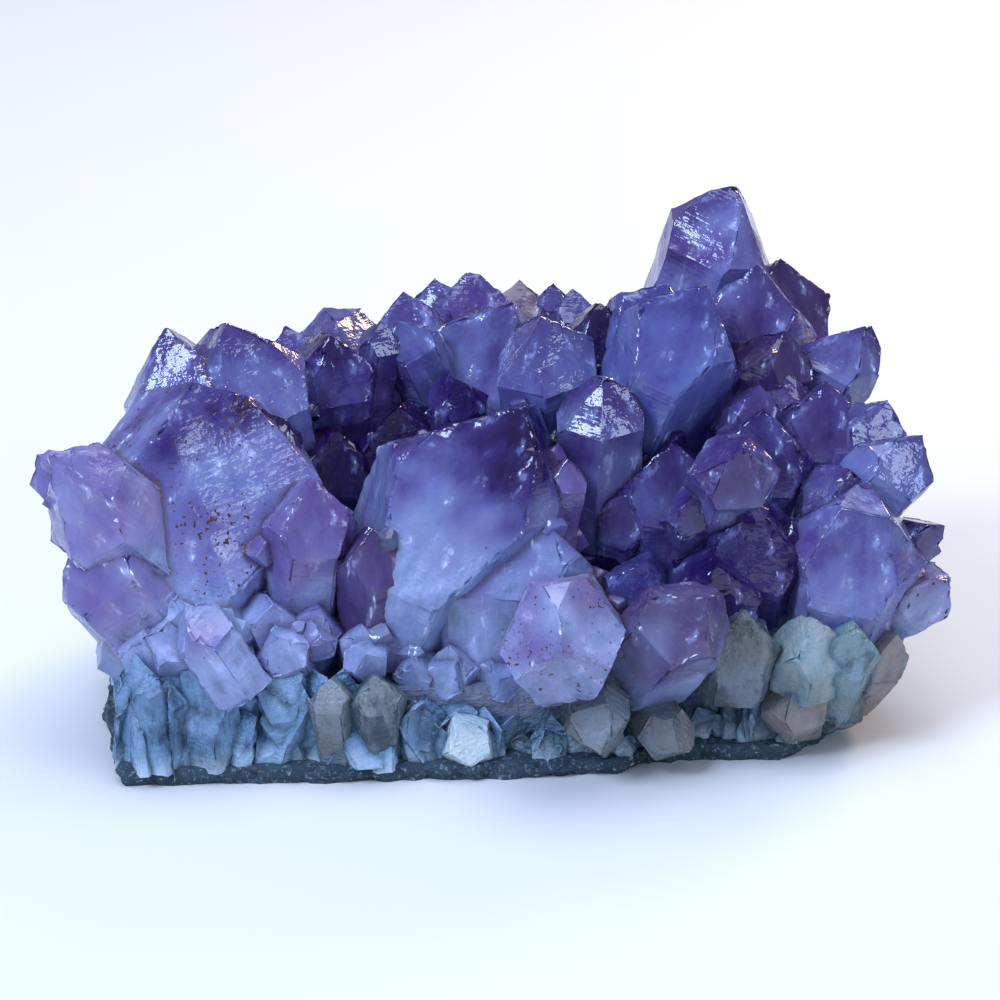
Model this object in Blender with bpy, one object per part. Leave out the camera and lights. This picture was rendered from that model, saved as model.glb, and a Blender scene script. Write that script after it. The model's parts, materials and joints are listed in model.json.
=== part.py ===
"""Amethyst cluster: a slab of quartz points on a crust of colourless quartz and a thin rind of dark rock.

Lengths in the tables are millimetres and angles are degrees. X runs to the right, Y to the back and Z up, and the
origin is on the flat underside of the rind, below the middle of the cluster.
"""

import math
import random

import bmesh
import bpy
from mathutils import Matrix, Vector

MM = 0.001
GAP = 0.3
SEED = 7

# Quartz grows as a six-sided prism closed by six faces, each 38.2 degrees from the long axis.
FACE_SLOPE = math.radians(38.2)
SIDES = 6
ABSENT = 9

# How high the violet crystals start
ROOT = 14


def point(name, tip, lean, face, half, ledges=None, girths=None, cuts=(), length=None):
    """One crystal of the table.

    lean is how far the long axis tips from upright, and which way. face is the way its first side looks, and the
    other five follow at 60 degrees, anticlockwise from above. half is the distance from the axis to a side. ledges
    says how far each end face stands back from the tip and girths how far each side stands from the axis, in halves.
    cuts are broken or grown-against flats: the way each looks, how far up it looks, and its distance from the tip.
    A crystal with no length of its own runs down to the root height.
    """
    return {
        "name": name, "tip": tip, "lean": lean, "face": face, "half": half,
        "ledges": ledges, "girths": girths, "cuts": cuts,
        "length": length or (tip[2] - ROOT) / math.cos(math.radians(lean[0])),
    }


POINTS = (
    point("left_dome", (-42.5, -12, 55), (18, -84), -98, 16, (0, .1, .1, .05, .4, ABSENT),
          (1.3, 1, .95, 1, 1, 1), ((-165, 46, 0),)),
    point("left_shoulder", (-64.5, -20, 44.5), (46, -152), -102, 9, (0, .15, .3, .2, .1, .1),
          (1, .8, .8, 1, 1, 1)),
    point("left_heel", (-62, -20, 34), (38, -168), -95, 8),
    point("left_knob", (-67.5, -13, 44), (44, 176), -105, 4.5, length=20),
    point("left_back", (-49.5, 8, 56), (15, 170), -102, 10, (0, .2, 0, .3, .1, .12)),
    point("left_peak", (-41, 4, 57.5), (14, -120), -58, 10, (0, .3, .1, .3, 0, .06)),
    point("left_cleft", (-35, -5, 48), (14, -60), -50, 7),
    point("left_step", (-26.8, -17, 41.5), (16, -60), -75, 6.8),
    point("hooded", (-25.5, 11, 54), (20, -80), -70, 7.5, (0, .3, 0, .3, 0, .05)),
    point("back_ledge", (-24, 28, 52.5), (8, 90), -95, 9, (.4, .1, .2, .1, .3, .2), None, ((0, 90, .6),)),
    point("back_bead", (-33, 26, 50), (14, 160), -80, 6),
    point("back_great", (2, 22, 55.5), (24, -40), -106, 12, (0, .3, 0, .3, 0, .3), (1.3, 1, 1, 1, 1, 1)),
    point("back_ridge_a", (-4.5, 32, 57.5), (8, 60), -75, 7, None, None, ((0, 90, .8),)),
    point("back_ridge_b", (-10, 31, 56.5), (10, -170), -95, 6),
    point("back_ridge_c", (-15, 29, 54.5), (12, 170), -85, 6.5),
    point("back_lath", (-15.5, 17, 54), (26, -160), -75, 4.5),
    point("back_small", (-18, 15, 54.5), (12, -60), -60, 3),
    point("dark_hex", (-6.5, 8, 48), (26, -85), -65, 4.5),
    point("pit_left", (-24.5, 2, 42), (20, -60), -70, 6.5),
    point("pit_right", (-15.5, 4, 44.5), (25, -100), -100, 7),
    point("front_stub", (-18.5, -20, 35), (14, -90), -75, 5),
    point("centre", (3.5, -14, 52), (26, -45), -108, 15, (0, .14, 0, .3, 0, .3), (1.35, .85, .9, 1, 1, 1.05)),
    point("centre_foot", (1, -15, 40), (8, -90), -95, 11.5),
    point("tower", (36.5, 30, 71.5), (18, -15), -118, 8.6, (0, .12, 0, .3, .05, .2),
          (1, 1, 1, 1, .75, .8)),
    point("tower_shoulder", (43.5, 32, 59.5), (6, 30), -62, 8.5, (0, .4, 0, .3, 0, .3)),
    point("tower_front", (39, 18, 63), (12, -80), -100, 8.5),
    point("blue_roof", (30.5, 2, 65.5), (24, -30), -104, 9, (0, .2, 0, .3, 0, .3), (1.2, 1, 1, 1, .85, .95)),
    point("blue_wedge", (25.5, 12, 62), (26, -10), -105, 6),
    point("dark_tooth", (15, 11, 59.5), (8, -60), -75, 6, (0, .15, 0, .2, 0, .1)),
    point("sheet_lit", (6, 6, 59), (12, -120), -62, 7.5, (0, .4, 0, .3, 0, .05)),
    point("back_lump_a", (3, 38, 53.5), (10, 100), -90, 5),
    point("back_lump_b", (8.5, 38, 53), (12, 60), -70, 3.5),
    point("back_lump_c", (11.5, 36, 52.5), (10, 80), -80, 4),
    point("split_tooth", (15.5, -6, 54), (10, -75), -60, 6.5, (0, .2, 0, .2, 0, .05)),
    point("rosy_sliver", (10, -12, 43), (10, 0), -60, 3.5),
    point("violet_bench", (25.5, -8, 44), (16, -100), -95, 8),
    point("facing_hex", (35, -18, 47), (40, -84), -85, 6, (0, .1, .05, .1, 0, .15)),
    point("violet_back", (39, -4, 47.5), (22, -80), -90, 8),
    point("right_peak", (54.5, 14, 54.5), (20, -10), -110, 6, (0, .1, .3, .3, 0, .3), (1, .9, .8, 1, 1.2, 1.3)),
    point("glint", (44.5, 4, 50), (20, -20), -20, 4),
    point("glint_back", (42.5, 8, 55.5), (16, -20), -50, 5.5),
    point("glint_small", (38.5, -1, 50.5), (14, -40), -80, 4),
    point("right_wall", (49, 2, 49.5), (14, -60), -90, 8),
    point("right_bead", (58, 3, 46.5), (24, -10), -80, 6),
    point("right_blade", (62.5, -4, 43.5), (40, 0), -80, 6),
    point("right_flat", (51.5, -10, 40.5), (26, -60), -60, 6),
    point("right_round", (53.5, -16, 38), (24, -70), -95, 9.8, (0, .2, .15, .3, .2, .2),
          (1.1, 1, 1, 1, 1, 1), ((-60, 70, 1.5),)),
    point("right_spike", (66.5, -4, 29), (62, 0), -60, 4),
    point("right_low", (67, -12, 24), (58, -20), -70, 5.5),
    point("mid_wedge", (38, -16, 36.5), (30, -85), -100, 8),
    point("mid_bead_a", (28, -14, 38), (34, -80), -70, 4.5),
    point("mid_bead_b", (19.5, -10, 37), (30, -80), -110, 5),
    point("blue_facet", (21.5, -18, 29), (30, -70), -100, 5),
    point("low_shelf", (32, -20, 29.5), (36, -85), -80, 8),
    point("low_front", (8.5, -42, 25.5), (72, -92), -90, 8.5),
    point("low_thumb", (29.5, -35, 30.5), (44, -60), -120, 6.5),
)

# The colourless crystals that show in the band below, larger than their neighbours.
BLOCKS = (
    point("pale_drop", (14.5, -36, 6.5), (112, -88), -95, 4.5, length=16),
    point("pale_twin", (26, -33, 5.5), (95, -70), -80, 4, length=14),
    point("grey_block", (35.5, -25, 24), (20, -80), -90, 6, length=14),
    point("clear_block", (46, -24, 22.5), (18, -70), -60, 5.5, length=12),
    point("milky_block", (52, -17, 8), (64, -60), -60, 6, length=18),
    point("side_block", (57.5, -15, 16), (52, -30), -70, 5, length=18),
    point("smoky_block", (-18, -31, 17), (16, -95), -80, 4, length=16),
    point("smoky_twin", (-24.5, -30, 16), (10, -120), -100, 3.5, length=16),
    point("white_block", (-6, -31, 9), (40, -110), -70, 4, length=14),
)

# The outline of the whole piece where it stands, and how high the colourless band reaches there.
BASE = (
    (-55, -33.5, 20), (-30, -32.5, 19), (-12, -32, 14), (3, -31, 10), (17, -30, 9), (22, -26, 11), (28, -24.5, 13),
    (42, -25, 13), (49, -17, 15), (55, -4, 17), (57, 17, 18), (50, 37, 18), (22, 45, 19), (-20, 45, 20),
    (-46, 37, 19), (-60, 15, 19), (-60, -8, 21), (-57, -24, 21),
)
RIND_TOP = 2.7
CRUST_INSET = 7
CRUST_TOP = 12
CORE_INSET = 17
CORE_BOTTOM = 9
CORE_TOP = 26
UNDER = 30

# Rings of small colourless crystals round the band: share of its height, distance inside the outline, tilt, length
RINGS = ((.34, 1.5, 78, 9), (.9, 2.5, 50, 12.5))
RING_STEP = 6.4
RING_HALF = 3.5

# The crystals behind, which the photograph hides, fill the spots of a grid that no listed crystal takes.
HIDDEN_STEP = 13.5
HIDDEN_REACH = (61, 40)
HIDDEN_CLEAR = 9.5
HIDDEN_HALF = 8.2


def unit(tilt, toward):
    """The direction that is tilt degrees from upright, leaning the way toward points in plan."""
    lean, plan = math.radians(tilt), math.radians(toward)
    return Vector((math.sin(lean) * math.cos(plan), math.sin(lean) * math.sin(plan), math.cos(lean)))


def stand(tip, lean, face):
    """The matrix that takes a crystal from its own axes, tip at the origin and first side along X, to its place."""
    up = unit(*lean)
    look = unit(90, face)
    across = (look - up * look.dot(up)).normalized()
    side = up.cross(across)
    turn = Matrix((across, side, up)).transposed().to_4x4()
    return Matrix.Translation(Vector(tip)) @ turn


def shave(bm, at, normal):
    """Cuts away what lies beyond a plane and closes the cut with one face."""
    everything = bm.verts[:] + bm.edges[:] + bm.faces[:]
    cut = bmesh.ops.bisect_plane(bm, geom=everything, plane_co=at, plane_no=normal, clear_outer=True)
    rim = [e for e in cut["geom_cut"] if isinstance(e, bmesh.types.BMEdge)]
    if rim:
        bmesh.ops.contextual_create(bm, geom=rim)


def crystal(row, grow=0.0):
    """One quartz crystal in its place, as a bmesh in millimetres. grow moves every face outwards."""
    half, length = row["half"], row["length"]
    draw = random.Random(f"{SEED} {row['name']}")
    ledges = row["ledges"] or [draw.uniform(.22, .4) if k % 2 else draw.uniform(0, .06) for k in range(SIDES)]
    girths = row["girths"] or [draw.uniform(.9, 1.1) for k in range(SIDES)]
    bm = bmesh.new()
    blank = 3 * half + 2 * grow
    bmesh.ops.create_cone(
        bm, cap_ends=True, segments=4, radius1=blank, radius2=blank, depth=length + half + 2 * grow,
        matrix=Matrix.Translation((0, 0, (half - length) / 2)))
    for k in range(SIDES):
        angle = math.radians(60 * k)
        out = Vector((math.cos(angle), math.sin(angle), 0))
        shave(bm, out * (half * girths[k] + grow), out)
        slope = out * math.cos(FACE_SLOPE) + Vector((0, 0, math.sin(FACE_SLOPE)))
        if ledges[k] < ABSENT:
            shave(bm, slope * (half * ledges[k] + grow), slope)
    bm.transform(stand(row["tip"], row["lean"], row["face"]))
    for look, rise, back in row["cuts"]:
        normal = unit(90 - rise, look)
        shave(bm, Vector(row["tip"]) + normal * (grow - back), normal)
    return bm


def walk(step):
    """Points a step apart along the base outline: x, y, height of the band and the way the outline faces."""
    spots = []
    left = step / 2
    for i, (x0, y0, band0) in enumerate(BASE):
        x1, y1, band1 = BASE[(i + 1) % len(BASE)]
        span = math.hypot(x1 - x0, y1 - y0)
        outward = math.degrees(math.atan2(x0 - x1, y1 - y0))
        while left < span:
            t = left / span
            spots.append((x0 + (x1 - x0) * t, y0 + (y1 - y0) * t, band0 + (band1 - band0) * t, outward))
            left += step
        left -= span
    return spots


def small_quartz():
    """The rows of the rings of small colourless crystals round the band."""
    draw = random.Random(SEED)
    rows = []
    for ring, (share, inside, tilt, length) in enumerate(RINGS):
        for i, (x, y, band, outward) in enumerate(walk(RING_STEP)):
            turn = math.radians(outward)
            back = inside + draw.uniform(-1.5, 1.5)
            tip = (x - back * math.cos(turn), y - back * math.sin(turn), band * share + draw.uniform(-1.2, 1.2))
            lean = (tilt + draw.uniform(-14, 14), outward + draw.uniform(-25, 25))
            half = RING_HALF * draw.uniform(.75, 1.4)
            face = outward + draw.uniform(-30, 30)
            rows.append(point(f"quartz_{ring}_{i}", tip, lean, face, half, length=length))
    return rows


def hidden_points():
    """The rows of the crystals behind and at the ends, on a jittered grid under a low dome."""
    draw = random.Random(SEED + 1)
    wide, deep = HIDDEN_REACH
    rows = []
    for j in range(-4, 5):
        for i in range(-6, 7):
            x = (i + (j % 2) / 2) * HIDDEN_STEP + draw.uniform(-2, 2)
            y = j * HIDDEN_STEP * .87 + draw.uniform(-2, 2) + 2
            out = math.hypot(x / wide, y / deep)
            near = min(math.hypot(x - row["tip"][0], y - row["tip"][1]) for row in POINTS)
            size = HIDDEN_HALF * draw.uniform(.7, 1.15)
            height = 45 - 19 * out ** 3 + draw.uniform(-3, 3)
            aim = math.degrees(math.atan2(y / deep, x / wide))
            lean = (8 + 42 * out ** 2 + draw.uniform(-6, 6), aim + draw.uniform(-15, 15))
            if out < 1 and y > 4 and near > HIDDEN_CLEAR:
                rows.append(point(f"hidden_{j}_{i}", (x, y, height), lean, draw.uniform(-180, 180), size))
    return rows


def inset(outline, distance):
    """An outline moved inwards by a distance."""
    moved = []
    for i, (x, y) in enumerate(outline):
        before, after = outline[i - 1], outline[(i + 1) % len(outline)]
        into = (Vector((x, y)) - Vector(before)).normalized()
        away = (Vector(after) - Vector((x, y))).normalized()
        inward = Vector((-into.y - away.y, into.x + away.x)).normalized()
        moved.append(Vector((x, y)) + inward * distance / max(.5, inward.dot(Vector((-into.y, into.x)))))
    return [tuple(p) for p in moved]


def slab(distance, bottom, top, grow=0.0):
    """A flat block inside the base outline, as a bmesh."""
    bm = bmesh.new()
    ring = inset([(x, y) for x, y, band in BASE], distance - grow)
    base = bm.faces.new([bm.verts.new((x, y, bottom - grow)) for x, y in ring])
    grown = bmesh.ops.extrude_face_region(bm, geom=[base])
    lifted = [v for v in grown["geom"] if isinstance(v, bmesh.types.BMVert)]
    bmesh.ops.translate(bm, verts=lifted, vec=(0, 0, top - bottom + 2 * grow))
    bm.normal_update()
    if bm.calc_volume(signed=True) < 0:
        bmesh.ops.reverse_faces(bm, faces=bm.faces[:])
    return bm


def rind():
    """The rind: a thin plate with a chipped edge and a flat underside, as a bmesh."""
    draw = random.Random(SEED + 2)
    bm = slab(0, 0, RIND_TOP)
    rim = [e for e in bm.edges if abs(e.verts[0].co.z - e.verts[1].co.z) < .01]
    bmesh.ops.subdivide_edges(bm, edges=rim, cuts=3, use_grid_fill=True)
    posts = [e for e in bm.edges if abs(e.verts[0].co.z - e.verts[1].co.z) > .01]
    bmesh.ops.subdivide_edges(bm, edges=posts, cuts=1)
    middle = Vector((-3, 3, 0))
    for vert in bm.verts:
        out = (vert.co - middle).to_2d().normalized()
        shift = draw.uniform(-.9, .3) + (.5 if .1 < vert.co.z < RIND_TOP - .1 else 0)
        vert.co += Vector((out.x * shift, out.y * shift, 0))
    bmesh.ops.connect_verts_concave(bm, faces=bm.faces[:])
    return bm


def keep(bm, name, collection):
    """Turns a bmesh in millimetres into an object in metres."""
    bm.transform(Matrix.Scale(MM, 4))
    mesh = bpy.data.meshes.new(name)
    bm.to_mesh(mesh)
    bm.free()
    obj = bpy.data.objects.new(name, mesh)
    collection.objects.link(obj)
    return obj


def group(name, parent):
    """A new collection."""
    made = bpy.data.collections.new(name)
    parent.children.link(made)
    return made


def combine(obj, operation, others):
    """Joins a collection of solids to an object, or cuts them from it, and applies the result."""
    step = obj.modifiers.new(operation.lower(), "BOOLEAN")
    step.operation = operation
    step.operand_type = "COLLECTION"
    step.collection = others
    # The exact solver leaves holes where so many crystals run into one another.
    step.solver = "MANIFOLD"
    graph = bpy.context.evaluated_depsgraph_get()
    mesh = bpy.data.meshes.new_from_object(obj.evaluated_get(graph))
    obj.modifiers.clear()
    obj.data = mesh


def drop_crumbs(obj):
    """Removes the crumbs that a cut left with nothing to hold them."""
    bm = bmesh.new()
    bm.from_mesh(obj.data)
    lumps = []
    left = set(bm.verts)
    while left:
        edge = [left.pop()]
        lump = set(edge)
        while edge:
            near = {e.other_vert(v) for v in edge for e in v.link_edges} - lump
            lump |= near
            edge = list(near)
        left -= lump
        lumps.append(lump)
    whole = max(lumps, key=len)
    bmesh.ops.delete(bm, geom=[v for v in bm.verts if v not in whole], context="VERTS")
    bm.to_mesh(obj.data)
    bm.free()


def stone(obj, name, colour, roughness, clear=0.0):
    """Gives an object its own material."""
    material = bpy.data.materials.new(name)
    material.use_nodes = True
    shader = material.node_tree.nodes["Principled BSDF"]
    shader.inputs["Base Color"].default_value = (*colour, 1)
    shader.inputs["Roughness"].default_value = roughness
    shader.inputs["Metallic"].default_value = 0
    shader.inputs["IOR"].default_value = 1.544
    shader.inputs["Transmission Weight"].default_value = clear
    obj.data.materials.clear()
    obj.data.materials.append(material)


def main():
    for obj in list(bpy.data.objects):
        bpy.data.objects.remove(obj, do_unlink=True)
    scene = bpy.context.scene.collection
    cluster = group("amethyst_cluster", scene)
    cutters = group("cutters", scene)
    violet = group("violet", cutters)
    pale = group("pale", cutters)
    room = group("room", cutters)
    under = group("under", cutters)

    for row in list(POINTS) + hidden_points():
        keep(crystal(row), row["name"], violet)
    bottom = RIND_TOP + GAP
    for row in list(BLOCKS) + small_quartz():
        keep(crystal(row), row["name"], pale)
        keep(crystal(row, GAP), row["name"] + "_room", room)
    keep(slab(CRUST_INSET, bottom, CRUST_TOP, GAP), "slab_room", room)
    keep(slab(-UNDER, CORE_BOTTOM - UNDER, CORE_BOTTOM), "below_core", room)
    keep(slab(-UNDER, bottom - UNDER, bottom), "below_crust", under)

    points = keep(slab(CORE_INSET, CORE_BOTTOM, CORE_TOP), "amethyst_points", cluster)
    combine(points, "UNION", violet)
    combine(points, "DIFFERENCE", room)
    drop_crumbs(points)
    stone(points, "amethyst", (.30, .24, .62), .15, .6)

    crust = keep(slab(CRUST_INSET, bottom, CRUST_TOP), "quartz_crust", cluster)
    combine(crust, "UNION", pale)
    combine(crust, "DIFFERENCE", under)
    drop_crumbs(crust)
    stone(crust, "colourless quartz", (.55, .62, .72), .25, .5)

    plate = keep(rind(), "basalt_rind", cluster)
    stone(plate, "basalt", (.03, .05, .06), .8)

    for obj in cutters.all_objects:
        obj.hide_render = True
        obj.display_type = "WIRE"


if __name__ == "__main__":
    main()
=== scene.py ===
"""Looks of the amethyst cluster: violet quartz points on a band of colourless quartz and a thin rind of basalt.

Lengths in the tables are millimetres and angles are degrees. X runs to the right, Y to the back and Z up, and the
origin is on the flat underside of the rind, as in the frame.
"""

import json
import math
import random

import bmesh
import bpy
import numpy as np
from bpy.props import FloatProperty, FloatVectorProperty, IntProperty, PointerProperty
from mathutils import Matrix, Vector, noise
from mathutils.kdtree import KDTree

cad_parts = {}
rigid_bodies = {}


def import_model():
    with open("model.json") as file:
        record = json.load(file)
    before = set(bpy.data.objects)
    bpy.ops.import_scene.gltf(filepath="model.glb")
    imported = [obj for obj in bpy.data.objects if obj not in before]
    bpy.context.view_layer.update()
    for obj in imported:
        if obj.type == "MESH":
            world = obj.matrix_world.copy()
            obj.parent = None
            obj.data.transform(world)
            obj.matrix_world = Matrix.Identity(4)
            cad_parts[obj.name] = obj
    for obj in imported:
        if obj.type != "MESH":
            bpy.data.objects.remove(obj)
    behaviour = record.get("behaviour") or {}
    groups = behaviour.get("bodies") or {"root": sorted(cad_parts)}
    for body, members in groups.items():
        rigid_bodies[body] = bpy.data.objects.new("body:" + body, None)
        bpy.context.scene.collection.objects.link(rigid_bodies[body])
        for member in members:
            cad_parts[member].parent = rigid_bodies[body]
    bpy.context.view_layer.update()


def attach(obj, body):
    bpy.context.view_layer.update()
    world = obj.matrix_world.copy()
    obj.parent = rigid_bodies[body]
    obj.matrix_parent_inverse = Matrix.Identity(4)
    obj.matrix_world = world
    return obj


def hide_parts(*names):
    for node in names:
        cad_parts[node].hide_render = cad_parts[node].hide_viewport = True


bl_info = {
    "name": "Amethyst cluster",
    "version": (1, 0, 0),
    "blender": (4, 5, 0),
    "location": "3D View > Sidebar > Amethyst",
    "description": "Grows an amethyst cluster with its quartz band and basalt rind, and a plain stage for it",
    "category": "Add Mesh",
}

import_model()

MM = 0.001
SEED = 7

# Quartz grows as a six-sided prism closed by six faces, each 38.2 degrees from the long axis.
FACE_SLOPE = math.radians(38.2)
SIDES = 6
ABSENT = 9

# How high the violet crystals start, inside the colourless band that hides their roots
ROOT = 14

# How much further down the crystals at the front reach, between the crystals of the band
DEEPER = 6

# What each kind of crystal looks like: violet at the tip and in the body, the height below which it turns milky,
# frost on its faces, rose, blue and brown in its colour, and dust on it. All but the height run from 0 to 1.
LOOKS = {
    "dusty": (.85, .27, 28, .45, .15, .10, .00, .9),
    "lilac": (.30, .08, 24, .40, .35, .00, .00, .3),
    "peak": (.62, .28, 20, .28, .20, .10, .00, .7),
    "rosy": (.42, .20, 24, .35, .50, .00, .00, .5),
    "midnight": (.88, .46, 8, .08, .15, .10, .00, .1),
    "mist": (.60, .42, 20, .30, .15, .10, .05, .4),
    # Painted shade: crystals of this look are darkened to stand for the shadow in the pits and clefts
    "shade": (1.0, .92, 8, .15, .50, .00, .10, .1),
    "great": (1.0, .24, 34, .26, .05, .10, .00, .3),
    "foot": (.34, .26, 31, .30, .05, .10, .00, .2),
    "tower": (.70, .24, 20, .30, .25, .05, .00, .5),
    # Painted warm reflection: the brown and rose of this look stand for warm light reflected from behind
    "ember": (.75, .52, 10, .12, .35, .00, .35, .3),
    "violet": (.70, .29, 14, .10, .20, .00, .00, .1),
    "lavender": (.55, .28, 22, .18, .10, .15, .00, .2),
    "blue": (.56, .30, 16, .10, .05, .35, .00, .1),
    "stub": (.55, .45, 14, .30, .45, .00, .30, .3),
    "mauve": (.52, .26, 19, .25, .22, .00, .42, .4),
    "night": (1.0, .98, 0, .08, .10, .00, .00, .0),
    "brown": (.30, .20, 20, .50, .20, .00, .80, .6),
    "pale": (.32, .09, 27, .25, .35, .00, .05, .8),
    "spark": (.60, .28, 18, .60, .10, .05, .05, .3),
    "smoky": (.00, .00, 0, .15, .25, .00, .42, .2),
    "brownish": (.00, .00, 0, .15, .20, .00, .55, .3),
    "clear": (.00, .00, 0, .05, .00, .05, .10, .1),
    "white": (.00, .00, 12, .20, .00, .10, .00, .0),
    "root": (.24, .16, 25, .40, .08, .12, .05, .4),
    "quartz": (.00, .00, 6, .20, .00, .45, .05, .1),
}


# Crystals of these kinds are broken rather than grown, so their relief is deeper and their facets smaller.
BROKEN = {"root": 1.15, "quartz": 1.25, "white": 1.25, "brownish": 1.1, "smoky": 1.1}


def point(name, look, tip, lean, face, half, ledges=None, girths=None, cuts=(), length=None):
    """One crystal of the table.

    look is one of LOOKS. lean is how far the long axis tips from upright, and which way. face is the way its first
    side looks, and the other five follow at 60 degrees. half is the distance from the axis to a side. ledges says
    how far each end face stands back from the tip and girths how far each side stands from the axis, in halves.
    cuts are flats: the way each looks, how far up it looks, and its distance from the tip. A crystal with no length
    of its own runs down to the root height.
    """
    return {
        "name": name, "look": look, "tip": tip, "lean": lean, "face": face, "half": half,
        "ledges": ledges, "girths": girths, "cuts": cuts,
        "length": length or (tip[2] - ROOT) / math.cos(math.radians(lean[0])),
    }


POINTS = (
    point("left_dome", "dusty", (-42.5, -12, 55), (18, -84), -98, 16, (0, .1, .1, .05, .4, ABSENT),
          (1.3, 1, .95, 1, 1, 1), ((-165, 46, 0), (-61, 30, 4.5))),
    point("left_shoulder", "lilac", (-64.5, -20, 44.5), (46, -152), -102, 9, (0, .15, .3, .2, .1, .1),
          (1, .8, .8, 1, 1, 1)),
    point("left_heel", "lilac", (-62, -20, 34), (38, -168), -95, 8),
    point("left_knob", "lilac", (-67.5, -13, 44), (44, 176), -105, 4.5, length=20),
    point("left_back", "peak", (-49.5, 8, 56), (15, 170), -102, 10, (0, .2, 0, .3, .1, .12)),
    point("left_peak", "peak", (-41, 4, 57.5), (14, -120), -58, 10, (0, .3, .1, .3, 0, .06)),
    point("left_cleft", "shade", (-35, -5, 48), (14, -60), -50, 7),
    point("left_step", "rosy", (-26.8, -17, 41.5), (16, -60), -75, 6.8),
    point("hooded", "midnight", (-25.5, 11, 54), (20, -80), -70, 7.5, (0, .3, 0, .3, 0, .05)),
    point("back_ledge", "mist", (-24, 28, 52.5), (8, 90), -95, 9, (.4, .1, .2, .1, .3, .2), None, ((0, 90, .6),)),
    point("back_bead", "mist", (-33, 26, 50), (14, 160), -80, 6),
    point("back_great", "lavender", (2, 22, 55.5), (24, -40), -106, 12, (0, .3, 0, .3, 0, .3), (1.3, 1, 1, 1, 1, 1)),
    point("back_ridge_a", "mist", (-4.5, 32, 57.5), (8, 60), -75, 7, None, None, ((0, 90, .8),)),
    point("back_ridge_b", "mist", (-10, 31, 56.5), (10, -170), -95, 6),
    point("back_ridge_c", "mist", (-15, 29, 54.5), (12, 170), -85, 6.5),
    point("back_lath", "lavender", (-15.5, 17, 54), (26, -160), -75, 4.5),
    point("back_small", "violet", (-18, 15, 54.5), (12, -60), -60, 3),
    point("dark_hex", "midnight", (-6.5, 8, 48), (26, -85), -65, 4.5),
    point("pit_left", "shade", (-24.5, 2, 42), (20, -60), -70, 6.5),
    point("pit_right", "shade", (-15.5, 4, 44.5), (25, -100), -100, 7),
    point("front_stub", "stub", (-18.5, -20, 35), (14, -90), -75, 5),
    point("centre", "great", (3.5, -14, 52), (26, -45), -108, 15, (0, .14, 0, .3, 0, .3), (1.35, .85, .9, 1, 1, 1.05)),
    point("centre_foot", "foot", (1, -15, 40), (8, -90), -95, 11.5),
    point("tower", "tower", (36.5, 30, 71.5), (18, -15), -118, 8.6, (0, .12, 0, .3, .05, .2),
          (1, 1.05, 1.1, 1, .75, .95)),
    point("tower_shoulder", "ember", (43.5, 32, 59.5), (6, 30), -62, 8.5, (0, .4, 0, .3, 0, .3)),
    point("tower_front", "violet", (39, 18, 63), (12, -80), -100, 8.5),
    point("blue_roof", "blue", (30.5, 2, 65.5), (24, -30), -104, 9, (0, .2, 0, .3, 0, .3), (1.2, 1, 1, 1, .85, .95)),
    point("blue_wedge", "blue", (25.5, 12, 62), (26, -10), -105, 6),
    point("dark_tooth", "night", (15, 11, 59.5), (8, -60), -75, 6, (0, .15, 0, .2, 0, .1)),
    point("sheet_lit", "lavender", (6, 6, 59), (12, -120), -62, 7.5, (0, .4, 0, .3, 0, .05)),
    point("back_lump_a", "brown", (3, 38, 53.5), (10, 100), -90, 5),
    point("back_lump_b", "mist", (8.5, 38, 53), (12, 60), -70, 3.5),
    point("back_lump_c", "mist", (11.5, 36, 52.5), (10, 80), -80, 4),
    point("split_tooth", "violet", (15.5, -6, 54), (10, -75), -60, 6.5, (0, .2, 0, .2, 0, .05)),
    point("rosy_sliver", "rosy", (10, -12, 43), (10, 0), -60, 3.5),
    point("violet_bench", "midnight", (25.5, -8, 44), (16, -100), -95, 8),
    point("facing_hex", "violet", (35, -18, 47), (40, -84), -85, 6, (0, .1, .05, .1, 0, .15)),
    point("violet_back", "midnight", (39, -4, 47.5), (22, -80), -90, 8),
    point("right_peak", "violet", (54.5, 14, 54.5), (20, -10), -110, 6, (0, .1, .3, .3, 0, .3), (1, .9, .8, 1, 1.2, 1.3)),
    point("glint", "violet", (44.5, 4, 50), (20, -20), -20, 4),
    point("glint_back", "ember", (42.5, 8, 55.5), (16, -20), -50, 5.5),
    point("glint_small", "violet", (38.5, -1, 50.5), (14, -40), -80, 4),
    point("right_wall", "violet", (49, 2, 49.5), (14, -60), -90, 8),
    point("right_bead", "lavender", (58, 3, 46.5), (24, -10), -80, 6),
    point("right_blade", "lavender", (62.5, -4, 43.5), (40, 0), -80, 6),
    point("right_flat", "violet", (51.5, -10, 40.5), (26, -60), -60, 6),
    point("right_round", "spark", (53.5, -16, 38), (24, -70), -95, 9.8, (0, .2, .15, .3, .2, .2),
          (1.1, 1, 1, 1, 1, 1), ((-60, 70, 1.5),)),
    point("right_spike", "violet", (66.5, -4, 29), (62, 0), -60, 4),
    point("right_low", "pale", (67, -12, 24), (58, -20), -70, 5.5),
    point("mid_wedge", "midnight", (38, -16, 36.5), (30, -85), -100, 8),
    point("mid_bead_a", "violet", (28, -14, 38), (34, -80), -70, 4.5),
    point("mid_bead_b", "violet", (19.5, -10, 37), (30, -80), -110, 5),
    point("blue_facet", "blue", (21.5, -18, 29), (30, -70), -100, 5),
    point("low_shelf", "midnight", (32, -20, 29.5), (36, -85), -80, 8),
    point("low_front", "pale", (8.5, -42, 25.5), (72, -92), -90, 8.5),
    point("low_thumb", "mauve", (29.5, -35, 30.5), (44, -60), -120, 6.5),
)


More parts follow.
